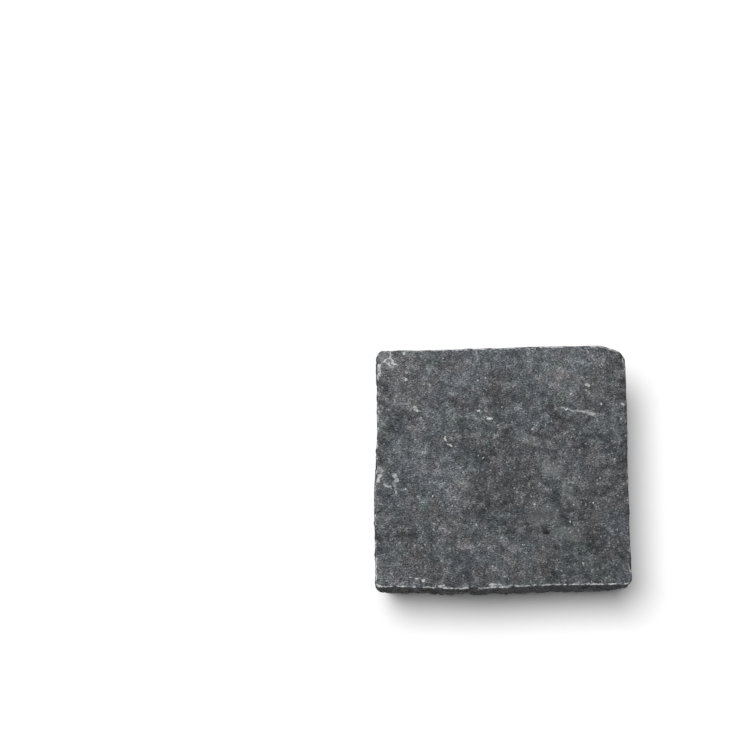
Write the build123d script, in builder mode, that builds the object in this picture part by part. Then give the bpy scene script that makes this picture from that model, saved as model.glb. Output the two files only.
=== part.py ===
from build123d import *
import os

# Basalt paving sett: one stone, sawn flat on its face and its bed, with four split sides.
# Lengths in mm, X to the right along the longer way, Y to the back, Z up from the bed.

# Overall sizes
length = 104.9          # mean length of the face, left to right
width = 100.5           # mean width of the face, front to back
thickness = 50.0        # sawn bed to sawn face

# Heights at which the split sides change
belly_drop = 18.0       # widest part of the sides, below the face
haunch_height = 14.0    # where the sides draw in to the foot, above the bed
arris_wear = 0.35       # rubbed arris round the face, as high as it is wide
bed_wear = 0.9          # the same round the bed

# Sides are numbered anticlockwise from above: front, right, back, left.
# Each row holds how far one split side stands out from a straight one, at even
# stations from its first corner to its last.
arris_line = (
    (0.7, 0.8, 1.4, 0.8, 0.0, -0.4, -0.4),
    (-0.3, -0.5, -0.5, -0.4, 0.0, 0.1, 0.1),
    (1.0, 0.9, 0.5, 0.0, -0.6, -0.9, -1.2),
    (-0.1, -0.2, -0.3, 0.4, 1.0, 0.6, 0.6),
)
belly_line = (
    (0.6, 1.0, 1.7, 1.5, 0.7, 0.0, -0.6),
    (-0.5, -0.2, 0.3, -0.1, 0.2, 0.5, 0.0),
    (0.8, 1.6, 1.0, 1.2, 0.4, -0.4, -1.2),
    (-0.2, -0.5, -0.6, -0.1, 0.3, -0.1, -0.4),
)
haunch_line = (
    (-1.8, -0.8, -1.2, -0.7, -1.9, -1.6, -2.6),
    (-3.1, -1.9, -2.7, -1.5, -2.4, -1.7, -2.9),
    (-2.6, -0.6, -1.8, -0.4, -1.6, -1.3, -2.6),
    (-1.9, -1.8, -0.9, -1.7, -0.8, -1.6, -2.4),
)
foot_line = (
    (-4.2, -3.3, -4.1, -2.8, -4.4, -4.0, -5.2),
    (-6.3, -5.5, -6.3, -4.5, -5.3, -4.9, -6.1),
    (-5.2, -3.4, -4.5, -2.9, -3.8, -3.9, -4.8),
    (-4.3, -3.9, -2.9, -3.9, -2.7, -3.7, -4.1),
)

# Upright corners: three are worn to a narrow flat, and the fourth is broken away, further
# along the back than along the right side, with a second flat where it meets that side.
front_left_corner = 1.0
front_right_corner = 1.6
back_left_corner = 1.9
broken_along_back = 10.5
broken_along_right = 3.2
broken_second_flat = 2.4

# Flake scars left by the splitting: side, place along it as a share of its run from the
# middle, height as a share of the thickness, radius of the bowl, and its depth.
flake_scars = (
    (0, -0.37, 0.62, 34.0, 1.1),
    (0, -0.30, 0.22, 30.0, 1.5),
    (0, -0.08, 0.42, 42.0, 1.3),
    (0, 0.04, 0.36, 18.0, 1.2),
    (0, 0.08, 0.12, 26.0, 1.6),
    (0, 0.22, 0.60, 46.0, 1.2),
    (0, 0.28, 0.16, 16.0, 1.2),
    (0, 0.38, 0.28, 30.0, 1.5),
    (1, -0.38, 0.30, 30.0, 1.6),
    (1, -0.24, 0.36, 16.0, 1.2),
    (1, -0.20, 0.68, 40.0, 1.2),
    (1, -0.06, 0.24, 34.0, 1.6),
    (1, 0.14, 0.55, 48.0, 1.3),
    (1, 0.10, 0.28, 20.0, 1.3),
    (1, 0.30, 0.18, 28.0, 1.5),
    (1, 0.40, 0.62, 34.0, 1.2),
    (2, -0.36, 0.55, 38.0, 1.3),
    (2, -0.24, 0.16, 28.0, 1.6),
    (2, -0.16, 0.34, 18.0, 1.3),
    (2, 0.00, 0.66, 44.0, 1.2),
    (2, 0.06, 0.26, 34.0, 1.5),
    (2, 0.26, 0.46, 46.0, 1.4),
    (2, 0.32, 0.24, 16.0, 1.2),
    (2, 0.38, 0.14, 26.0, 1.6),
    (3, -0.40, 0.24, 28.0, 1.5),
    (3, -0.26, 0.60, 42.0, 1.3),
    (3, -0.20, 0.30, 18.0, 1.2),
    (3, -0.06, 0.34, 36.0, 1.5),
    (3, 0.12, 0.72, 44.0, 1.1),
    (3, 0.08, 0.50, 16.0, 1.1),
    (3, 0.24, 0.20, 30.0, 1.6),
    (3, 0.38, 0.52, 38.0, 1.3),
)

# Chips that break the arris: side, place along it as above, radius of the bowl, and how
# far it bites into the face.
arris_chips = (
    (0, -0.12, 5.0, 0.9),
    (0, 0.03, 8.0, 0.7),
    (1, -0.42, 4.0, 1.0),
    (2, -0.12, 8.0, 0.6),
    (2, 0.33, 7.0, 0.7),
    (3, 0.00, 6.0, 0.8),
)
chip_rise = 0.45        # height of a chip's centre above the face, as a share of its radius

runs = (Vector(1, 0), Vector(0, 1), Vector(-1, 0), Vector(0, -1))
normals = (Vector(0, -1), Vector(1, 0), Vector(0, 1), Vector(-1, 0))
run_lengths = (length, width, length, width)
stand_offs = (width / 2, length / 2, width / 2, length / 2)
worn_corners = {0: front_left_corner, 1: front_right_corner, 3: back_left_corner}
levels = (
    (0.0, foot_line),
    (haunch_height, haunch_line),
    (thickness - belly_drop, belly_line),
    (thickness, arris_line),
)


def on_side(side, share, stand_out):
    """Point beside a straight side: its share of the run from the middle, and how far out."""
    return runs[side] * (share * run_lengths[side]) + normals[side] * (stand_offs[side] + stand_out)


def corner_point(line, side):
    """Where a side's first end meets the side before it."""
    before = side - 1
    return (normals[side] * (stand_offs[side] + line[side][0])
            + normals[before] * (stand_offs[before] + line[before][-1]))


def side_points(line, side):
    """A side's points from its first corner to its last."""
    last = len(line[side]) - 1
    middle = [on_side(side, i / last - 0.5, line[side][i]) for i in range(1, last)]
    after = (side + 1) % len(runs)
    return [corner_point(line, side)] + middle + [corner_point(line, after)]


def stand_out(side, share, height):
    """How far a split side stands out at a place on it, read between its four lines."""
    upper = next(i for i in range(1, len(levels)) if height <= levels[i][0])
    low, high = levels[upper - 1], levels[upper]
    up = (height - low[0]) / (high[0] - low[0])
    last = len(low[1][side]) - 1
    place = (share + 0.5) * last
    station = min(int(place), last - 1)
    along = place - station
    ends = [(1 - up) * low[1][side][i] + up * high[1][side][i] for i in (station, station + 1)]
    return (1 - along) * ends[0] + along * ends[1]


def upright_edge(part, side, past=0.0):
    """The upright edge at or short of a side's first corner, where it crosses the belly."""
    point = corner_point(belly_line, side) - runs[side - 1] * past
    return part.edges().sort_by_distance((point.X, point.Y, thickness - belly_drop))[0]


with BuildPart() as sett:
    # The split stone, from its bed up to its face
    for height, line in levels:
        with BuildSketch(Plane.XY.offset(height)):
            with BuildLine():
                for side in range(len(runs)):
                    Spline(side_points(line, side))
            make_face()
    loft()

    # Upright corners
    for side, size in worn_corners.items():
        chamfer(upright_edge(sett, side), size)
    right_side = sett.faces().sort_by(Axis.X)[-1]
    chamfer(upright_edge(sett, 2), broken_along_right, broken_along_back, reference=right_side)
    chamfer(upright_edge(sett, 2, broken_along_right), broken_second_flat)

    # Rubbed arrises round the face and the bed
    chamfer(sett.faces().sort_by(Axis.Z)[-1].edges(), arris_wear)
    chamfer(sett.faces().sort_by(Axis.Z)[0].edges(), bed_wear)

    # Flake scars in the split sides
    for side, share, height_share, bowl, depth in flake_scars:
        height = height_share * thickness
        centre = on_side(side, share, stand_out(side, share, height) + bowl - depth)
        with Locations((centre.X, centre.Y, height)):
            Sphere(bowl, mode=Mode.SUBTRACT)

    # Chips along the arris
    for side, share, bowl, bite in arris_chips:
        rise = chip_rise * bowl
        mouth = (bowl ** 2 - rise ** 2) ** 0.5
        centre = on_side(side, share, stand_out(side, share, thickness) + mouth - bite)
        with Locations((centre.X, centre.Y, thickness + rise)):
            Sphere(bowl, mode=Mode.SUBTRACT)

os.makedirs("parts", exist_ok=True)
sett.part.label = "sett"
export_step(sett.part, "parts/sett.step")
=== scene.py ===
import math
import bpy
import numpy as np
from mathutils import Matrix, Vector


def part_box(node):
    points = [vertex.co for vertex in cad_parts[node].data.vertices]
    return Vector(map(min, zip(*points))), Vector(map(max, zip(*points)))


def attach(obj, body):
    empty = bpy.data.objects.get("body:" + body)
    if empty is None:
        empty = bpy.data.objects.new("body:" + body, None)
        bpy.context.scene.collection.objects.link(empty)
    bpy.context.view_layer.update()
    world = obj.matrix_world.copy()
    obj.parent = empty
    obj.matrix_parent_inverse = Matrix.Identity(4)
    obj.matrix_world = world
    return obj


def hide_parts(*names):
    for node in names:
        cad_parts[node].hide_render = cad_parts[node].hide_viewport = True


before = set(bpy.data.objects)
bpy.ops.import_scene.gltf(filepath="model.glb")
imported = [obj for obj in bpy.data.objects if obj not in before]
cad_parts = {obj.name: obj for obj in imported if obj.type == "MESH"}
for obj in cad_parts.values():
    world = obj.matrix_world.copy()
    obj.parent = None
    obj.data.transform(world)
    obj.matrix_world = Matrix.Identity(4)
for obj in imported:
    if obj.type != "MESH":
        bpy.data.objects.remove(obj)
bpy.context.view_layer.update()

# Basalt sett, split from a sawn slab. Lengths are in metres unless a note says otherwise.
mm = 0.001
boxLow, boxHigh = (np.array(corner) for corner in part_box("sett"))
faceHeight = float(boxHigh[2])
print("frame loaded, stone", np.round((boxHigh - boxLow) / mm, 1), "mm")


# Camera, as the photograph gives it: where it stands over the bed's middle, how far it
# looks down, and its focal length in pixels of the square photograph.
photo = {
    "size": 750,
    "focal": 1640.0,
    "lookDown": math.radians(76.5),
    "place": (-53.06 * mm, -122.92 * mm, 722.0 * mm),
    "sensor": 36.0,        # mm
    "nearest": 10 * mm,    # what stands nearer than this isn't drawn
}


# Where a pixel of the photograph falls on the stone's face: the ray from the camera
# through the pixel, carried on until it has dropped to the height of the face.
def onFace(column, row):
    half = photo["size"] / 2
    right = (column - half) / photo["focal"]
    up = (half - row) / photo["focal"]
    cosDown, sinDown = math.cos(photo["lookDown"]), math.sin(photo["lookDown"])
    ray = np.array([right, cosDown + up * sinDown, -sinDown + up * cosDown])
    place = np.array(photo["place"])
    return place + ray * (faceHeight - place[2]) / ray[2]


def addCamera():
    camera = bpy.data.objects.new("camera", bpy.data.cameras.new("camera"))
    camera.data.sensor_width = photo["sensor"]
    camera.data.lens = photo["focal"] * photo["sensor"] / photo["size"]
    camera.data.clip_start = photo["nearest"]
    camera.location = photo["place"]
    camera.rotation_euler = (math.pi / 2 - photo["lookDown"], 0, 0)
    bpy.context.scene.collection.objects.link(camera)
    bpy.context.scene.camera = camera


# Random numbers from 0 to 1 for whole-numbered cells, the same on every run: the
# cell's three numbers and the seed are multiplied by large odd numbers and mixed.
def cellRandom(cells, seed):
    mixed = cells[..., 0] * 73856093 ^ cells[..., 1] * 19349663 ^ cells[..., 2] * 83492791
    mixed = (mixed ^ seed * 40503) & 0xFFFFFFFF
    mixed = (mixed ^ mixed >> 15) * 1274126177 & 0xFFFFFFFF
    mixed = (mixed ^ mixed >> 13) * 1103515245 & 0xFFFFFFFF
    return (mixed ^ mixed >> 16) / 0xFFFFFFFF


# Smooth noise from -1 to 1: the random numbers at the corners of a cube of side cell
# round each point, blended by how near each corner is, with eased shares.
def smoothNoise(points, cell, seed):
    inCells = points / cell
    base = np.floor(inCells).astype(np.int64)
    share = inCells - base
    share = share * share * (3 - 2 * share)
    total = np.zeros(len(points))
    for corner in np.ndindex(2, 2, 2):
        weight = np.prod(np.where(corner, share, 1 - share), axis=1)
        total += weight * cellRandom(base + corner, seed)
    return total * 2 - 1


# Broken-stone facets: each cell of side cell holds one centre and one tilted plane, and
# a point takes the height of the planes near it, the nearest by far the most.
def facetNoise(points, cell, tilt, crisp, seed):
    base = np.floor(points / cell).astype(np.int64)
    total = np.zeros(len(points))
    weights = np.zeros(len(points))
    for step in np.ndindex(3, 3, 3):
        cells = base + np.array(step) - 1
        centre = (cells + np.stack([cellRandom(cells, seed + k) for k in range(3)], axis=1)) * cell
        away = points - centre
        slope = np.stack([cellRandom(cells, seed + 3 + k) - 0.5 for k in range(3)], axis=1)
        plane = (away * slope).sum(axis=1) * 2 * tilt
        weight = np.exp(-crisp * (away ** 2).sum(axis=1) / cell ** 2)
        total += weight * plane
        weights += weight
    return total / weights


stone = {
    "columns": 200,          # grid steps on each side of the face
    "rows": 80,              # grid steps up the split sides
    "fineRows": 10,          # finer steps just below the face
    "fineBand": 2.5 * mm,    # height of those finer steps
    "margin": 3.0 * mm,      # how far the first wall stands off the stone
    "wallCorner": 14.0 * mm,    # corner radius of the first wall
    "skin": 0.02 * mm,       # how far inside the bed and the face the wall's ends are measured
    "rimRings": 6,           # rings of fine steps round the rim of the face
    "ringStep": 0.01,        # how much smaller each ring is, as a share
    "capRounds": 120,        # rounds of evening out the grid inside the rings
    "farIn": 1.0,            # distance to the arris given to every point well away from it
}


# A wall round the stone: share t of its outline runs anticlockwise round a rectangle
# with round corners, from the middle of the front left corner, and share v climbs.
def firstWall(heights):
    columns, radius = stone["columns"], stone["wallCorner"]
    halves = (boxHigh - boxLow)[:2] / 2 + stone["margin"]
    middle = (boxHigh + boxLow)[:2] / 2
    quarter = radius * math.pi / 4
    parts = []
    for side in range(4):
        run, reach = (halves[0], halves[1]) if side % 2 == 0 else (halves[1], halves[0])
        straight = 2 * (run - radius)
        gone = np.arange(columns) / columns * (straight + 2 * quarter)
        turn = (np.minimum(gone, quarter) - quarter + np.maximum(gone - quarter - straight, 0)) / radius
        along = np.clip(gone - quarter, 0, straight) - straight / 2 + radius * np.sin(turn)
        out = reach - radius + radius * np.cos(turn)
        angle = side * math.pi / 2
        parts.append(np.stack([along * math.cos(angle) + out * math.sin(angle),
                               along * math.sin(angle) - out * math.cos(angle)], axis=1))
    outline = np.concatenate(parts) + middle
    wall = np.empty((len(heights), len(outline), 3))
    wall[:, :, :2] = outline
    wall[:, :, 2] = heights[:, None]
    return wall


# Four-sided faces between the rows and columns of a grid of point numbers.
def gridFaces(numbers):
    return np.stack([numbers[:-1, :-1], numbers[:-1, 1:], numbers[1:, 1:], numbers[1:, :-1]],
                    axis=-1).reshape(-1, 4)


# Puts points and faces into a new mesh object, in whole arrays.
def meshObject(name, points, fours, threes=np.empty((0, 3), int)):
    mesh = bpy.data.meshes.new(name)
    corners = np.concatenate([fours.ravel(), threes.ravel()])
    sizes = np.concatenate([np.full(len(fours), 4), np.full(len(threes), 3)])
    mesh.vertices.add(len(points))
    mesh.vertices.foreach_set("co", np.ascontiguousarray(points, dtype=np.float32).ravel())
    mesh.loops.add(len(corners))
    mesh.loops.foreach_set("vertex_index", corners.astype(np.int32))
    mesh.polygons.add(len(sizes))
    mesh.polygons.foreach_set("loop_start", (np.cumsum(sizes) - sizes).astype(np.int32))
    mesh.polygons.foreach_set("use_smooth", np.ones(len(sizes), dtype=bool))
    mesh.update(calc_edges=True)
    mesh.validate()
    piece = bpy.data.objects.new(name, mesh)
    bpy.context.scene.collection.objects.link(piece)
    return piece


# Draws the first wall in, level by level, until it lies on the CAD stone.
def settleOnStone(wall):
    rows, columns = wall.shape[:2]
    numbers = np.arange(rows * columns).reshape(rows, columns)
    numbers = np.concatenate([numbers, numbers[:, :1]], axis=1)
    helper = meshObject("wallHelper", wall.reshape(-1, 3), gridFaces(numbers))
    wrap = helper.modifiers.new("settle", "SHRINKWRAP")
    wrap.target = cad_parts["sett"]
    wrap.wrap_method = "PROJECT"
    wrap.use_negative_direction = True
    wrap.use_positive_direction = False
    settled = helper.evaluated_get(bpy.context.evaluated_depsgraph_get()).data
    points = np.empty(rows * columns * 3, dtype=np.float32)
    settled.vertices.foreach_get("co", points)
    mesh = helper.data
    bpy.data.objects.remove(helper)
    bpy.data.meshes.remove(mesh)
    return points.reshape(rows, columns, 3).astype(float)


# Outward direction at each point of the closed wall: the way round crossed with the way up.
def wallNormals(wall):
    around = np.roll(wall, -1, axis=1) - np.roll(wall, 1, axis=1)
    upward = np.gradient(wall, axis=0)
    normal = np.cross(around, upward)
    return normal / np.maximum(np.linalg.norm(normal, axis=2, keepdims=True), 1e-12)


# Fills a ring of points with a square grid: first the sum of the two ways of joining
# opposite edges less the corners' share, then each inner point moved again and again
# to the mean of its four neighbours.
def fillRing(ring, steps):
    closed = np.concatenate([ring, ring[:1]])
    front, right = closed[:steps + 1], closed[steps:2 * steps + 1]
    back, left = closed[2 * steps:3 * steps + 1][::-1], closed[3 * steps:][::-1]
    a = (np.arange(steps + 1) / steps)[None, :, None]
    b = (np.arange(steps + 1) / steps)[:, None, None]
    grid = (1 - b) * front[None] + b * back[None] + (1 - a) * left[:, None] + a * right[:, None]
    grid = grid - ((1 - a) * (1 - b) * front[0] + a * (1 - b) * front[-1]
                   + (1 - a) * b * back[0] + a * b * back[-1])
    for _ in range(stone["capRounds"]):
        grid[1:-1, 1:-1] = (grid[:-2, 1:-1] + grid[2:, 1:-1] + grid[1:-1, :-2] + grid[1:-1, 2:]) / 4
    return grid


# Point numbers of a filled ring: the ring's own numbers round the rim, new ones inside.
def filledNumbers(ring, steps, firstNew):
    numbers = np.empty((steps + 1, steps + 1), int)
    numbers[1:-1, 1:-1] = firstNew + np.arange((steps - 1) ** 2).reshape(steps - 1, steps - 1)
    closed = np.concatenate([ring, ring[:1]])
    numbers[0, :], numbers[:, -1] = closed[:steps + 1], closed[steps:2 * steps + 1]
    numbers[-1, ::-1], numbers[::-1, 0] = closed[2 * steps:3 * steps + 1], closed[3 * steps:]
    return numbers


# Closes a ring with a flat cap that faces up: copies of the ring, each a little smaller
# about the middle, then one with half as many points, and a square grid inside it.
# Returns the new points, the faces, and how far in each new point lies from the rim.
def capRing(ring, numbers, firstNew, fineRings):
    count = len(ring)
    shares = 1 - stone["ringStep"] * np.arange(1, fineRings + 2)
    scales = np.stack([shares, shares, np.ones(len(shares))], axis=1)
    rings = ring[None] * scales[:, None]
    fine = np.concatenate([numbers, firstNew + np.arange(fineRings * count)]).reshape(-1, count)
    fours = [gridFaces(np.concatenate([fine, fine[:, :1]], axis=1))] if fineRings else []
    inner = rings[-1, ::2]
    firstInner = firstNew + fineRings * count
    innerNumbers = firstInner + np.arange(len(inner))
    a, b, c = fine[-1, ::2], fine[-1, 1::2], np.roll(fine[-1, ::2], -1)
    d, e = innerNumbers, np.roll(innerNumbers, -1)
    threes = np.concatenate([np.stack(t, axis=1) for t in ((a, b, d), (d, b, e), (b, c, e))])
    steps = len(inner) // 4
    grid = fillRing(inner, steps)[1:-1, 1:-1].reshape(-1, 3)
    fours.append(gridFaces(filledNumbers(innerNumbers, steps, firstInner + len(inner))))
    points = np.concatenate([rings[:-1].reshape(-1, 3), inner, grid])
    inward = np.full(len(points), stone["farIn"])
    inward[:fineRings * count] = np.repeat((1 - shares[:-1]) * boxHigh[0], count)
    return points, np.concatenate(fours), threes, inward


relief = {
    # Facets are rows of cell, tilt, crispness and seed, and noises rows of cell, height and seed
    "facets": ((7.0 * mm, 0.08, 24.0, 11), (3.0 * mm, 0.17, 22.0, 23)),
    "noise": ((1.6 * mm, 0.15 * mm, 31), (0.8 * mm, 0.08 * mm, 37)),
    "arris": ((5.0 * mm, 0.14 * mm, 41), (1.6 * mm, 0.10 * mm, 43)),   # noises of the arris and the foot
    "rimShare": 0.12,        # share of the relief left at the arris and the foot
    "rimBand": 8.0 * mm,     # height over which it comes in
    "softening": 4,          # rounds of smoothing along the settled wall
    "hollowSpan": 5,         # grid steps over which a hollow or a ridge is told from its surroundings
    "fullRidge": 3.0,        # how many times the usual rise counts as a full ridge
}


# Split relief: the wall moved along its outward direction by facets of two sizes and
# two finer noises. It fades to the arris and the foot, which wander a little by
# noises of their own, the same all the way up, and stay at their heights.
def roughen(wall):
    flat = wall.reshape(-1, 3)
    rise = np.zeros(len(flat))
    for cell, tilt, crisp, seed in relief["facets"]:
        rise += facetNoise(flat, cell, tilt, crisp, seed)
    for cell, height, seed in relief["noise"]:
        rise += height * smoothNoise(flat, cell, seed)
    rise = rise.reshape(wall.shape[:2])
    edge = np.clip(np.minimum(wall[:, :, 2], faceHeight - wall[:, :, 2]) / relief["rimBand"], 0, 1)
    rise *= relief["rimShare"] + (1 - relief["rimShare"]) * edge * edge * (3 - 2 * edge)
    for cell, height, seed in relief["arris"]:
        rise += height * smoothNoise(wall[-1], cell, seed)
    move = wallNormals(wall) * rise[:, :, None]
    move[0, :, 2] = 0
    move[-1, :, 2] = 0
    return wall + move, hollows(rise)


# Mean of a field on the closed wall over the steps to each side of every point.
def spread(field, steps):
    around = sum(np.roll(field, k, axis=1) for k in range(-steps, steps + 1)) / (2 * steps + 1)
    padded = np.pad(around, ((steps, steps), (0, 0)), mode="edge")
    return sum(padded[k:k + len(field)] for k in range(2 * steps + 1)) / (2 * steps + 1)


# How far each point of the wall lies above its surroundings, as a share of the usual
# height of the relief: over 0 on ridges, under 0 in hollows.
def hollows(rise):
    above = rise - spread(rise, relief["hollowSpan"])
    return np.clip(above / (relief["fullRidge"] * above.std()), -1, 1)


chips = {
    "count": 170,
    "radius": (0.6 * mm, 3.0 * mm),
    "bite": (0.06, 0.20),            # shares of the radius
    "tilt": (25.0, 75.0),            # degrees above the level, from outside the arris
    "aimRow": -3,                    # row of the wall that gives the way out, just under the arris
    "seed": 5,
}


# Small chips along the arris: balls set beside it, most of them small, bite in a little,
# and every point inside a ball is moved straight out from its centre to its surface.
def chipArris(points, ring, outward):
    rng = np.random.default_rng(chips["seed"])
    count = chips["count"]
    at = rng.integers(0, len(ring), count)
    radius = rng.uniform(0, 1, count) ** 2 * (chips["radius"][1] - chips["radius"][0]) + chips["radius"][0]
    bite = radius * rng.uniform(*chips["bite"], count)
    tilt = np.radians(rng.uniform(*chips["tilt"], count))
    aim = outward[at] * np.cos(tilt)[:, None]
    aim[:, 2] += np.sin(tilt)
    centres = ring[at] + aim * (radius - bite)[:, None]
    for centre, size in zip(centres, radius):
        away = points - centre
        distance = np.linalg.norm(away, axis=1)
        inside = distance < size
        points[inside] = centre + away[inside] * (size / distance[inside])[:, None]
    return points


rubbing = {
    "sides": (1.0, 0.05, 0.75, 0.4),     # how rubbed the arris is: front, right, back, left
    "beyond": 2.0 * mm,      # added to every distance to a side, which softens the change at corners
    "least": 1.0 * mm,
    # Gaps in the rubbed line along the front: column of the photograph, half width in mm
    "gaps": ((421, 0.4), (438, 0.5), (474, 1.7), (537, 2.6), (562, 0.9), (579, 0.9)),
    "gapRow": 587,           # row of the photograph on which that line runs
    "gapDepth": 1.6,
    "frontBand": 3.0 * mm,   # how far in from the front the gaps reach
}


# How rubbed the arris is beside each point: the four sides' own values, each weighted by
# how near that side is, one over its distance to the fourth power. Along the front it
# drops in a few gaps, by a flat-topped bell of the distance to each.
def rubbedShare(points):
    distances = np.stack([points[:, 1] - boxLow[1], boxHigh[0] - points[:, 0],
                          boxHigh[1] - points[:, 1], points[:, 0] - boxLow[0]], axis=1)
    weights = 1 / np.maximum(distances + rubbing["beyond"], rubbing["least"]) ** 4
    rubbed = (weights * np.array(rubbing["sides"])).sum(axis=1) / weights.sum(axis=1)
    inFront = np.exp(-(distances[:, 0] / rubbing["frontBand"]) ** 2)
    for column, halfWidth in rubbing["gaps"]:
        away = (points[:, 0] - onFace(column, rubbing["gapRow"])[0]) / (halfWidth * mm)
        rubbed -= rubbing["gapDepth"] * inFront * np.exp(-away ** 4)
    return rubbed


# The stone: a wall settled on the CAD stone, evened out along its run and roughened, with
# a flat cap at the face and another at the bed, and then chipped along the arris. Every
# point carries four values for the material: arris gap, rubbing, sawn and ridge.
def buildStone():
    fine = stone["fineRows"]
    heights = np.concatenate([
        np.linspace(stone["skin"], faceHeight - stone["fineBand"], stone["rows"], endpoint=False),
        np.linspace(faceHeight - stone["fineBand"], faceHeight - stone["skin"], fine + 1)])
    wall = settleOnStone(firstWall(heights))
    for _ in range(relief["softening"]):
        wall = (np.roll(wall, 1, axis=1) + 2 * wall + np.roll(wall, -1, axis=1)) / 4
    wall[0, :, 2] = 0
    wall[-1, :, 2] = faceHeight
    print("wall settled on the stone,", wall.shape[0], "rows of", wall.shape[1])

    wall, above = roughen(wall)
    rows, columns = wall.shape[:2]
    numbers = np.arange(rows * columns).reshape(rows, columns)
    face, faceFours, faceThrees, faceInward = capRing(wall[-1], numbers[-1], rows * columns,
                                                      stone["rimRings"])
    bed, bedFours, bedThrees, _ = capRing(wall[0], numbers[0], rows * columns + len(face), 0)
    points = np.concatenate([wall.reshape(-1, 3), face, bed])
    closed = np.concatenate([numbers, numbers[:, :1]], axis=1)
    fours = np.concatenate([gridFaces(closed), faceFours, bedFours[:, ::-1]])
    threes = np.concatenate([faceThrees, bedThrees[:, ::-1]])
    points = chipArris(points, wall[-1], wallNormals(wall)[chips["aimRow"]])

    # How near each point is to the arris, what is sawn, and what stands out of the split sides
    arrisGap = np.full(len(points), stone["farIn"])
    arrisGap[:rows * columns] = faceHeight - points[:rows * columns, 2]
    arrisGap[rows * columns:rows * columns + len(face)] = faceInward
    sawn = np.zeros(len(points))
    sawn[(rows - 1) * columns:] = 1.0
    ridge = np.zeros(len(points))
    ridge[:(rows - 1) * columns] = above[:-1].ravel()

    piece = meshObject("basaltSett", points, fours, threes)
    for name, values in (("arrisGap", arrisGap), ("rubbed", rubbedShare(points)), ("sawn", sawn),
                         ("ridge", ridge)):
        layer = piece.data.attributes.new(name, "FLOAT", "POINT")
        layer.data.foreach_set("value", values.astype(np.float32))
    triangles = 2 * len(fours) + len(threes)
    print("stone built,", len(points), "points and", triangles, "triangles")
    return piece


# Gives a socket its value, or links it to the output that feeds it.
def feed(tree, socket, value):
    if isinstance(value, bpy.types.NodeSocket):
        tree.links.new(value, socket)
    else:
        socket.default_value = value


# Adds a node. Settings are its own properties, and inputs go to its sockets.
def put(tree, kind, inputs=None, **settings):
    node = tree.nodes.new(kind)
    for name, value in settings.items():
        setattr(node, name, value)
    for name, value in (inputs or {}).items():
        feed(tree, node.inputs[name], value)
    return node


def calc(tree, operation, a, b=0.0, c=0.0, clamp=False):
    return put(tree, "ShaderNodeMath", {0: a, 1: b, 2: c}, operation=operation, use_clamp=clamp).outputs[0]


def vectorCalc(tree, operation, a, b=(0, 0, 0)):
    return put(tree, "ShaderNodeVectorMath", {0: a, 1: b}, operation=operation)


def rescale(tree, value, low, high, toLow=0.0, toHigh=1.0, smooth=True):
    kind = "SMOOTHSTEP" if smooth else "LINEAR"
    node = put(tree, "ShaderNodeMapRange", {"Value": value, "From Min": low, "From Max": high,
                                            "To Min": toLow, "To Max": toHigh}, interpolation_type=kind)
    return node.outputs["Result"]


# Mixes two colours. The Mix node's colour sockets are its inputs 6 and 7 and its output 2.
def blend(tree, share, a, b):
    return put(tree, "ShaderNodeMix", {"Factor": share, 6: a, 7: b}, data_type="RGBA").outputs[2]


# A colour or a vector times a number.
def scaled(tree, vector, level):
    node = vectorCalc(tree, "SCALE", vector)
    feed(tree, node.inputs["Scale"], level)
    return node.outputs[0]


def noise(tree, vector, size, detail=2.0, roughness=0.5, distortion=0.0):
    node = put(tree, "ShaderNodeTexNoise", {"Vector": vector, "Scale": 1 / size, "Detail": detail,
                                            "Roughness": roughness, "Distortion": distortion})
    return node.outputs["Fac"]


# A place moved about by a coloured noise: plus its distance from the middle value, times reach.
def jostled(tree, vector, size, detail, reach):
    wobble = put(tree, "ShaderNodeTexNoise", {"Vector": vector, "Scale": 1 / size, "Detail": detail})
    away = vectorCalc(tree, "SUBTRACT", wobble.outputs["Color"], (0.5,) * 3).outputs[0]
    shift = vectorCalc(tree, "MULTIPLY", away, (reach,) * 3).outputs[0]
    return vectorCalc(tree, "ADD", vector, shift).outputs[0]


# Starts a node group with named inputs and outputs.
def newGroup(name, inputs, outputs):
    group = bpy.data.node_groups.new(name, "ShaderNodeTree")
    for label, kind, value in inputs:
        socket = group.interface.new_socket(name=label, in_out="INPUT", socket_type=kind)
        if value is not None:
            socket.default_value = value
    for label, kind in outputs:
        group.interface.new_socket(name=label, in_out="OUTPUT", socket_type=kind)
    return group, put(group, "NodeGroupInput").outputs, put(group, "NodeGroupOutput")


def useGroup(tree, group, inputs):
    node = put(tree, "ShaderNodeGroup", node_tree=group)
    for name, value in inputs.items():
        feed(tree, node.inputs[name], value)
    return node.outputs


stoneBody = {
    # Noises are rows of size, detail and roughness, and bands the values between which one comes in
    "drift": (9.0 * mm, 4.0, 0.7),
    "driftBand": (0.34, 0.66),
    "greenish": (11.5 * mm, 3.0, 0.65),
    "greenishBand": (0.50, 0.72),
    "clouds": ((34.0 * mm, 1.0), (13.0 * mm, 2.0)),
    "mottle": ((4.6 * mm, 2.0), (2.2 * mm, 2.0)),
    "mottlePower": 3.0,
    "mottleLevel": (0.33, 0.65),     # how much of the raised mottling counts, and what it is added to
    "crystals": ((0.6, (1.0, 2.1, 1.3)), (-0.7, (1.0, 2.3, 1.6))),     # turn, stretch
    "crystalLean": (0.3, 0.2),
    "paleGrain": 0.78 * mm,
    "paleBand": (0.55, 0.69),
    "darkGrain": 0.58 * mm,
    "darkBand": (0.47, 0.33),
    "darkLevel": (0.5, 0.12),        # how much the dark crystals count, and what is always taken off
    "leastLevel": 0.2,
    "contrast": 1.5,         # power to which the level is raised
}


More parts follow.
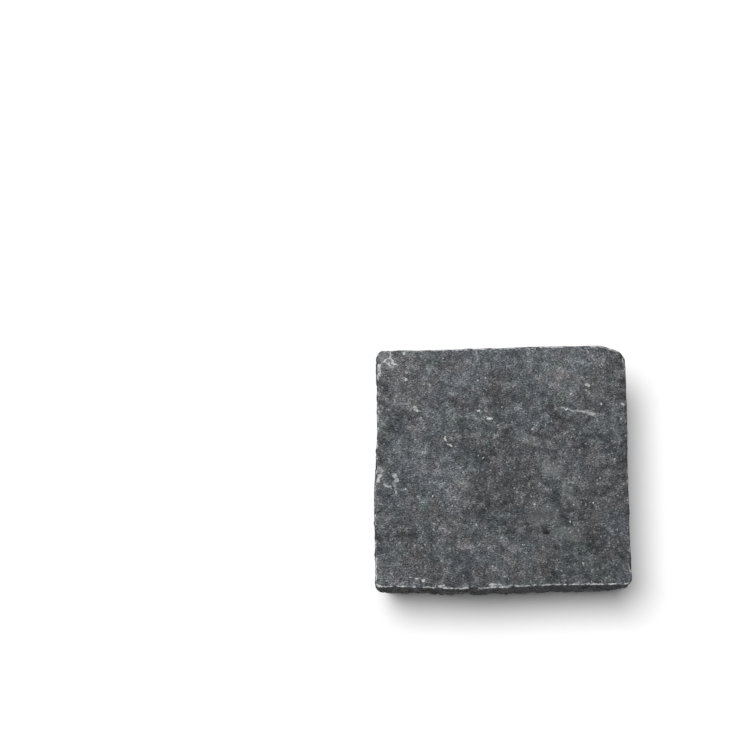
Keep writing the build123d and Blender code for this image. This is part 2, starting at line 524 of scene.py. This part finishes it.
# Stone body: a drift between three greys, soft mottling of four sizes, and a grain of
# small crystals that lie all ways: pale ones where the brighter of two drawn-out layers
# is high, and dark ones where a third layer is low. The level is raised to a power,
# because the pale places stand out more than the dark ones.
def stoneBodyGroup():
    group, given, result = newGroup("stoneBody", (
        ("Vector", "NodeSocketVector", None),
        ("Cool", "NodeSocketColor", (0.1, 0.11, 0.12, 1)),
        ("Warm", "NodeSocketColor", (0.12, 0.115, 0.11, 1)),
        ("Green", "NodeSocketColor", (0.1, 0.12, 0.11, 1)),
        ("Cloud", "NodeSocketFloat", 0.3),
        ("Mottle", "NodeSocketFloat", 0.5),
        ("Grain", "NodeSocketFloat", 1.0),
    ), (("Color", "NodeSocketColor"), ("Grain Height", "NodeSocketFloat")))
    place = given["Vector"]
    drift = rescale(group, noise(group, place, *stoneBody["drift"]), *stoneBody["driftBand"])
    tone = blend(group, drift, given["Cool"], given["Warm"])
    greenish = rescale(group, noise(group, place, *stoneBody["greenish"]), *stoneBody["greenishBand"])
    tone = blend(group, greenish, tone, given["Green"])
    clouds = calc(group, "ADD", *(noise(group, place, *row) for row in stoneBody["clouds"]))
    mottle = calc(group, "ADD", *(noise(group, place, *row) for row in stoneBody["mottle"]))
    mottle = calc(group, "MULTIPLY_ADD", calc(group, "POWER", mottle, stoneBody["mottlePower"]),
                  *stoneBody["mottleLevel"])
    crystals = []
    for turn, stretch in stoneBody["crystals"]:
        laid = put(group, "ShaderNodeMapping", {"Vector": place, "Scale": stretch,
                                                "Rotation": (*stoneBody["crystalLean"], turn)})
        crystals.append(noise(group, laid.outputs[0], stoneBody["paleGrain"], 1.0))
    pale = rescale(group, calc(group, "MAXIMUM", *crystals), *stoneBody["paleBand"])
    dark = rescale(group, noise(group, place, stoneBody["darkGrain"], 1.0), *stoneBody["darkBand"])
    grain = calc(group, "SUBTRACT", pale, calc(group, "MULTIPLY_ADD", dark, *stoneBody["darkLevel"]))
    level = calc(group, "MULTIPLY_ADD", calc(group, "SUBTRACT", clouds, 1.0), given["Cloud"], 1.0)
    level = calc(group, "MULTIPLY_ADD", calc(group, "SUBTRACT", mottle, 1.0), given["Mottle"], level)
    level = calc(group, "MULTIPLY", level, calc(group, "MULTIPLY_ADD", grain, given["Grain"], 1.0))
    level = calc(group, "POWER", calc(group, "MAXIMUM", level, stoneBody["leastLevel"]),
                 stoneBody["contrast"])
    group.links.new(scaled(group, tone, level), result.inputs["Color"])
    group.links.new(grain, result.inputs["Grain Height"])
    return group


flecks = {
    "raggedSize": 0.7 * mm,
    "raggedShift": 1.6 * mm,
    "fade": 0.6,             # share of a spot over which it fades out
    "pale": {"Scale": 1200.0, "Rarity": 0.935, "Spread": 0.5},
    "big": {"Scale": 620.0, "Rarity": 0.970, "Spread": 0.28},
    "pits": {"Scale": 600.0, "Rarity": 0.97, "Spread": 0.25},
    "onSplit": 0.25,         # how strongly the pale ones show on the split sides
    "moreOnFace": 0.60,      # and how much more on the sawn face
    # how strongly the pits are painted with shade
    "pitShadeStrength": 0.8,
}


# Scattered flecks: space is cut into cells, as many a metre as the scale says, and a cell
# whose own random number is over the threshold holds a ragged spot.
def fleckGroup():
    group, given, result = newGroup("flecks", (
        ("Vector", "NodeSocketVector", None),
        ("Scale", "NodeSocketFloat", 1000.0),
        ("Rarity", "NodeSocketFloat", 0.9),
        ("Spread", "NodeSocketFloat", 0.35),
    ), (("Mask", "NodeSocketFloat"),))
    moved = jostled(group, given["Vector"], flecks["raggedSize"], 2.0, flecks["raggedShift"])
    cells = put(group, "ShaderNodeTexVoronoi", {"Vector": moved, "Scale": given["Scale"]})
    pick = put(group, "ShaderNodeSeparateColor", {"Color": cells.outputs["Color"]}).outputs[0]
    chosen = calc(group, "GREATER_THAN", pick, given["Rarity"])
    spot = calc(group, "SUBTRACT", 1.0, calc(group, "DIVIDE", cells.outputs["Distance"], given["Spread"]),
                clamp=True)
    mask = calc(group, "MULTIPLY", chosen, rescale(group, spot, 0.0, flecks["fade"]))
    group.links.new(mask, result.inputs["Mask"])
    return group


marks = {
    "sway": (1.5 * mm, 1.0, 2.4 * mm),       # size, detail and reach of the wobble along a line
    "ragged": (1.2 * mm, 3.0, 0.7),          # size, detail and roughness of the ragged edge
    "raggedness": 2.2,
    "wander": (2.8 * mm, 2.0, 0.55, 0.8),    # the same of the cracks, and their distortion
    "crackBand": (0.08, 0.025),
    "edgeBand": (1.15, 0.35),        # shares of the half width between which a mark comes in
    # Each mark is two ends in pixels of the photograph, half width in mm, strength, and how far
    # cracks break it up. Together they stay under about fifty: the shader takes no more groups.
    "pale": (
        # back left corner
        ((390, 352), (390, 356), 0.60, 0.55, 0.0),
        ((390, 357), (384, 361.5), 0.50, 0.90, 0.0),
        ((384, 361.5), (380, 364), 0.45, 0.75, 0.0),
        ((390, 357), (392, 363), 0.45, 0.80, 0.0),
        ((392, 363), (396.5, 365), 0.50, 0.80, 0.0),
        ((384.3, 361.3), (388, 364.2), 0.45, 0.85, 0.0),
        ((388, 364.2), (389.3, 367), 0.45, 0.80, 0.0),
        ((389.3, 367), (396, 367.7), 0.45, 0.75, 0.0),
        ((379.3, 365), (379.3, 369), 0.95, 0.85, 0.1),
        ((379.5, 369), (379.5, 376), 0.55, 0.70, 0.0),
        ((384, 354), (392, 365), 3.60, 0.16, 0.6),
        ((404, 353), (405, 353.5), 0.80, 0.80, 0.0),
        ((406.6, 371.5), (407.4, 372.5), 0.75, 0.55, 0.0),
        ((406, 378.7), (406.6, 379.3), 0.55, 0.75, 0.0),
        # beside the left arris
        ((378, 468), (382, 470), 0.55, 0.40, 0.5),
        ((377, 481), (381, 475), 0.70, 0.90, 0.3),
        ((394, 474), (397, 481), 1.00, 0.60, 0.7),
        ((393, 482), (396, 493), 0.70, 0.55, 0.7),
        ((384, 484), (391, 488), 0.55, 0.65, 0.5),
        # left half
        ((414, 407), (417, 410), 0.65, 0.75, 0.4),
        ((445, 438), (447, 444), 0.45, 0.85, 0.0),
        ((447.5, 445), (450.5, 445.5), 0.60, 0.85, 0.0),
        ((477, 410), (479, 412), 0.42, 0.80, 0.0),
        ((487, 418), (493, 419), 0.50, 0.80, 0.0),
        # right half
        ((561, 408), (575, 411), 0.45, 0.75, 0.1),
        ((575, 411), (584, 411), 0.50, 0.50, 0.2),
        ((584, 411.5), (593, 414), 0.95, 0.45, 0.5),
        ((587, 384.5), (589.5, 386), 0.65, 0.65, 0.2),
        ((622.5, 357), (624.5, 365), 0.45, 0.60, 0.2),
        ((622, 403), (623, 404), 0.50, 0.75, 0.0),
        ((524, 438), (531, 441), 3.40, 0.12, 0.6),
        ((546, 466), (558, 472), 3.60, 0.14, 0.5),
        ((563, 487), (576, 504), 2.60, 0.13, 0.6),
        ((537, 517), (552, 514), 4.80, 0.085, 0.4),
        ((561, 532), (577, 536), 3.60, 0.08, 0.4),
        # beside the front arris
        ((391, 573), (393, 575), 0.50, 0.50, 0.2),
        ((409, 577), (418, 579), 0.42, 0.85, 0.4),
        ((423.5, 580.5), (425, 582.5), 0.55, 0.75, 0.0),
        ((440, 586.3), (443.5, 585.8), 0.60, 0.70, 0.1),
        ((490, 584), (492, 585), 0.85, 0.90, 0.0),
        ((494, 584), (501, 586), 0.40, 0.55, 0.1),
        ((503, 587), (526, 586.5), 0.65, 0.50, 0.5),
        ((588, 583), (594, 585), 0.45, 0.70, 0.0),
    ),
    # Dark marks: painted shade in a pit and in small notches and cracks at the arris
    "dark": (
        ((421, 579), (421, 587), 0.30, 0.70, 0.0),
        ((546, 531.5), (546.8, 532), 1.20, 1.00, 0.0),
        ((628, 566), (631, 565), 0.55, 0.70, 0.0),
        ((624.5, 376), (620, 386), 0.50, 0.55, 0.0),
        ((620, 386), (619.5, 394), 0.45, 0.50, 0.0),
        ((471, 583), (477, 586), 0.80, 0.35, 0.3),
    ),
}


# A mark along a line: full near the line, gone at its half width, with a ragged edge, and
# broken up into crooked cracks. The distance is to the nearest point of the line.
def markGroup():
    group, given, result = newGroup("mark", (
        ("Vector", "NodeSocketVector", None),
        ("Start", "NodeSocketVector", None),
        ("End", "NodeSocketVector", None),
        ("Half Width", "NodeSocketFloat", 1 * mm),
        ("Strength", "NodeSocketFloat", 1.0),
        ("Breakup", "NodeSocketFloat", 0.5),
        ("Ragged", "NodeSocketFloat", 0.0),
        ("Cracks", "NodeSocketFloat", 1.0),
    ), (("Mask", "NodeSocketFloat"),))
    line = vectorCalc(group, "SUBTRACT", given["End"], given["Start"]).outputs[0]
    reach = vectorCalc(group, "SUBTRACT", given["Vector"], given["Start"]).outputs[0]
    along = vectorCalc(group, "DOT_PRODUCT", reach, line).outputs["Value"]
    whole = vectorCalc(group, "DOT_PRODUCT", line, line).outputs["Value"]
    share = calc(group, "DIVIDE", along, calc(group, "MAXIMUM", whole, 1e-9), clamp=True)
    gap = vectorCalc(group, "SUBTRACT", reach, scaled(group, line, share)).outputs[0]
    distance = calc(group, "DIVIDE", vectorCalc(group, "LENGTH", gap).outputs["Value"], given["Half Width"])
    body = rescale(group, calc(group, "ADD", distance, given["Ragged"]), *marks["edgeBand"])
    cracks = calc(group, "SUBTRACT", given["Cracks"], 1.0)
    cracks = calc(group, "MULTIPLY_ADD", cracks, given["Breakup"], 1.0)
    mask = calc(group, "MULTIPLY", calc(group, "MULTIPLY", body, cracks), given["Strength"])
    group.links.new(mask, result.inputs["Mask"])
    return group


basalt = {
    "cool": (0.1065, 0.1195, 0.1310, 1),
    "warm": (0.1225, 0.1225, 0.1275, 1),
    "green": (0.1055, 0.1220, 0.1240, 1),
    # The split sides' greys are less than half the face's: partly the darker split stone, partly painted
    # shade of the sides
    "splitCoolShaded": (0.047, 0.051, 0.055, 1),
    "splitWarmShaded": (0.057, 0.057, 0.0585, 1),
    "splitGreenShaded": (0.048, 0.0525, 0.0525, 1),
    "bruise": (0.80, 0.82, 0.82, 1),
    "fleck": (0.42, 0.43, 0.43, 1),
    # Near black: painted shade in the pits, and in the notches and cracks of the dark marks
    "recessShade": (0.012, 0.012, 0.013, 1),
    "faceBody": {"Cloud": 0.74, "Mottle": 1.23, "Grain": 1.04},
    "splitBody": {"Cloud": 0.6, "Mottle": 1.0, "Grain": 1.1},
    "ridgeHollowShade": 0.85,       # painted highlight and shade: how much lighter a full ridge of the split sides is, and darker a full hollow
    "fall": (-1.6, 2.6),     # how much lighter the face grows to the right and to the back, a metre
    "roughness": (0.96, 0.84),       # split, sawn
    "specular": 0.2,
    "bumpStrength": 0.8,
    "bumpDistance": 0.25 * mm,
    "pitDepth": -1.5,        # of a pit, as a share of the grain's height
}


arrisLine = {
    "ragged": (1.4 * mm, 2.0, 0.6),      # size, detail and roughness of each noise
    "raggedShift": 1.3 * mm,
    "band": (0.35 * mm, 0.14 * mm),      # distances from the arris between which the line comes in
    "dashes": (4.5 * mm, 3.0, 0.7),
    "dashShare": 0.17,                   # how much rubbing adds to the noise of the dashes
    "dashBand": (0.56, 0.68),
    "crumbs": (0.8 * mm, 2.0, 0.6),
    "crumbBand": (0.38, 0.58),
    "crumbLevel": (0.6, 0.35),           # how much the crumbs count, and what is there without them
}


# Rubbed pale line along the arris: near the arris, where the dashes' noise and the rubbing
# are high together, times a level of crumbs.
def rubbedLine(tree, place):
    arrisGap = put(tree, "ShaderNodeAttribute", attribute_name="arrisGap").outputs["Fac"]
    rubbed = put(tree, "ShaderNodeAttribute", attribute_name="rubbed").outputs["Fac"]
    ragged = calc(tree, "SUBTRACT", noise(tree, place, *arrisLine["ragged"]), 0.5)
    edge = calc(tree, "MULTIPLY_ADD", ragged, arrisLine["raggedShift"], arrisGap)
    near = rescale(tree, edge, *arrisLine["band"])
    dashes = calc(tree, "MULTIPLY_ADD", rubbed, arrisLine["dashShare"],
                  noise(tree, place, *arrisLine["dashes"]))
    dashes = rescale(tree, dashes, *arrisLine["dashBand"])
    crumbs = rescale(tree, noise(tree, place, *arrisLine["crumbs"]), *arrisLine["crumbBand"])
    return calc(tree, "MULTIPLY", calc(tree, "MULTIPLY", near, dashes),
                calc(tree, "MULTIPLY_ADD", crumbs, *arrisLine["crumbLevel"]))


# Masks of the pale marks and of the dark ones, which are painted shade, each the greatest of
# its marks. One wobble, one ragged noise and one web of cracks serve them all: the cracks
# are where a noise is near its middle value.
def markMasks(tree, place):
    mark = markGroup()
    swayed = jostled(tree, place, *marks["sway"])
    ragged = calc(tree, "SUBTRACT", noise(tree, place, *marks["ragged"]), 0.5)
    ragged = calc(tree, "MULTIPLY", ragged, marks["raggedness"])
    wander = calc(tree, "SUBTRACT", noise(tree, place, *marks["wander"]), 0.5)
    cracks = rescale(tree, calc(tree, "ABSOLUTE", wander), *marks["crackBand"])
    masks = []
    for rows in (marks["pale"], marks["dark"]):
        joined = 0.0
        for start, end, halfWidth, strength, breakup in rows:
            mask = useGroup(tree, mark, {"Vector": swayed, "Start": onFace(*start), "End": onFace(*end),
                                         "Half Width": halfWidth * mm, "Strength": strength,
                                         "Breakup": breakup, "Ragged": ragged, "Cracks": cracks})
            joined = calc(tree, "MAXIMUM", joined, mask["Mask"])
        masks.append(joined)
    return masks


def basaltMaterial():
    material = bpy.data.materials.new("basalt")
    material.use_nodes = True
    tree = material.node_tree
    tree.nodes.clear()
    place = put(tree, "ShaderNodeTexCoord").outputs["Object"]
    sawn = put(tree, "ShaderNodeAttribute", attribute_name="sawn").outputs["Fac"]
    ridge = put(tree, "ShaderNodeAttribute", attribute_name="ridge").outputs["Fac"]

    # Body of the sawn face and of the split sides
    body = stoneBodyGroup()
    faceBody = useGroup(tree, body, {"Vector": place, "Cool": basalt["cool"], "Warm": basalt["warm"],
                                     "Green": basalt["green"], **basalt["faceBody"]})
    splitBody = useGroup(tree, body, {"Vector": place, "Cool": basalt["splitCoolShaded"],
                                      "Warm": basalt["splitWarmShaded"], "Green": basalt["splitGreenShaded"],
                                      **basalt["splitBody"]})
    axes = put(tree, "ShaderNodeSeparateXYZ", {"Vector": place}).outputs
    fall = calc(tree, "MULTIPLY_ADD", axes["X"], basalt["fall"][0],
                calc(tree, "MULTIPLY_ADD", axes["Y"], basalt["fall"][1], 1.0))
    faceColor = scaled(tree, faceBody["Color"], fall)
    # Painted shade in the hollows and painted highlight on the ridges of the split sides, so that their
    # relief reads under the soft light
    paintedReliefShade = calc(tree, "MULTIPLY_ADD", ridge, basalt["ridgeHollowShade"], 1.0)
    shadedSplitColor = scaled(tree, splitBody["Color"], paintedReliefShade)
    color = blend(tree, sawn, shadedSplitColor, faceColor)

    # Flecks, and pits that are bumped in and coloured near black as painted shade
    fleck = fleckGroup()
    paleFlecks = useGroup(tree, fleck, {"Vector": place, **flecks["pale"]})["Mask"]
    bigFlecks = useGroup(tree, fleck, {"Vector": place, **flecks["big"]})["Mask"]
    pits = useGroup(tree, fleck, {"Vector": place, **flecks["pits"]})["Mask"]
    showing = calc(tree, "MULTIPLY_ADD", sawn, flecks["moreOnFace"], flecks["onSplit"])
    color = blend(tree, calc(tree, "MULTIPLY", paleFlecks, showing), color, basalt["fleck"])
    color = blend(tree, calc(tree, "MULTIPLY", bigFlecks, showing), color, basalt["bruise"])
    # Painted shade in the pits
    color = blend(tree, calc(tree, "MULTIPLY", pits, flecks["pitShadeStrength"]), color, basalt["recessShade"])

    # Rubbed arris and pale marks, and dark marks that are painted shade in a pit, notches and cracks
    paleMarks, shadeMarks = markMasks(tree, place)
    pale = calc(tree, "MAXIMUM", rubbedLine(tree, place), paleMarks)
    color = blend(tree, pale, color, basalt["bruise"])
    color = blend(tree, shadeMarks, color, basalt["recessShade"])

    # Bump: the grain, twice as deep on the split sides, and the pits
    grain = calc(tree, "MULTIPLY", faceBody["Grain Height"], calc(tree, "SUBTRACT", 2.0, sawn))
    height = calc(tree, "MULTIPLY_ADD", pits, basalt["pitDepth"], grain)
    bump = put(tree, "ShaderNodeBump", {"Height": height, "Strength": basalt["bumpStrength"],
                                        "Distance": basalt["bumpDistance"]})
    roughness = rescale(tree, sawn, 0.0, 1.0, *basalt["roughness"], smooth=False)
    shader = put(tree, "ShaderNodeBsdfPrincipled", {"Base Color": color, "Roughness": roughness,
                                                    "Specular IOR Level": basalt["specular"],
                                                    "Normal": bump.outputs[0]})
    put(tree, "ShaderNodeOutputMaterial", {"Surface": shader.outputs[0]})
    return material


studio = {
    "floorReach": 3.0,
    "floorColor": (0.80, 0.80, 0.80, 1),
    "floorSeen": (1.04, 1.04, 1.04, 1),    # what the camera sees of it, so that it comes out white
    "keyStrength": 2.85,
    "keySpread": math.radians(27),
    "keyLean": (-0.23, 0.08),      # how far the key leans left and back for each unit up
    "ambient": 0.11,
}


# 1 for what the eye sees, straight or in a gloss or through glass, and 0 for other light.
def seenByEye(tree):
    path = put(tree, "ShaderNodeLightPath").outputs
    return calc(tree, "MAXIMUM", calc(tree, "MAXIMUM", path["Is Camera Ray"], path["Is Glossy Ray"]),
                path["Is Transmission Ray"])


def addStudio():
    reach = studio["floorReach"]
    corners = np.array([(-reach, -reach, 0), (reach, -reach, 0), (reach, reach, 0), (-reach, reach, 0)])
    floor = meshObject("floor", corners, np.array([[0, 1, 2, 3]]))
    paint = bpy.data.materials.new("floorWhite")
    paint.use_nodes = True
    tree = paint.node_tree
    tree.nodes.clear()
    white = blend(tree, seenByEye(tree), studio["floorColor"], studio["floorSeen"])
    matt = put(tree, "ShaderNodeBsdfDiffuse", {"Color": white})
    put(tree, "ShaderNodeOutputMaterial", {"Surface": matt.outputs[0]})
    floor.data.materials.append(paint)

    key = bpy.data.objects.new("key", bpy.data.lights.new("key", "SUN"))
    key.data.energy = studio["keyStrength"]
    key.data.angle = studio["keySpread"]
    leanX, leanY = studio["keyLean"]
    key.rotation_euler = (math.atan(-leanY), math.atan(leanX), 0)
    bpy.context.scene.collection.objects.link(key)

    # The backdrop is white to what the eye sees, and a low even light to everything else
    world = bpy.data.worlds.new("studio")
    world.use_nodes = True
    tree = world.node_tree
    tree.nodes.clear()
    strength = calc(tree, "MAXIMUM", seenByEye(tree), studio["ambient"])
    sky = put(tree, "ShaderNodeBackground", {"Color": (1, 1, 1, 1), "Strength": strength})
    put(tree, "ShaderNodeOutputWorld", {"Surface": sky.outputs[0]})
    bpy.context.scene.world = world
    bpy.context.scene.view_settings.view_transform = "Standard"


addCamera()
sett = buildStone()
sett.data.materials.append(basaltMaterial())
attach(sett, "root")
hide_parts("sett")
addStudio()
print("materials and studio done")
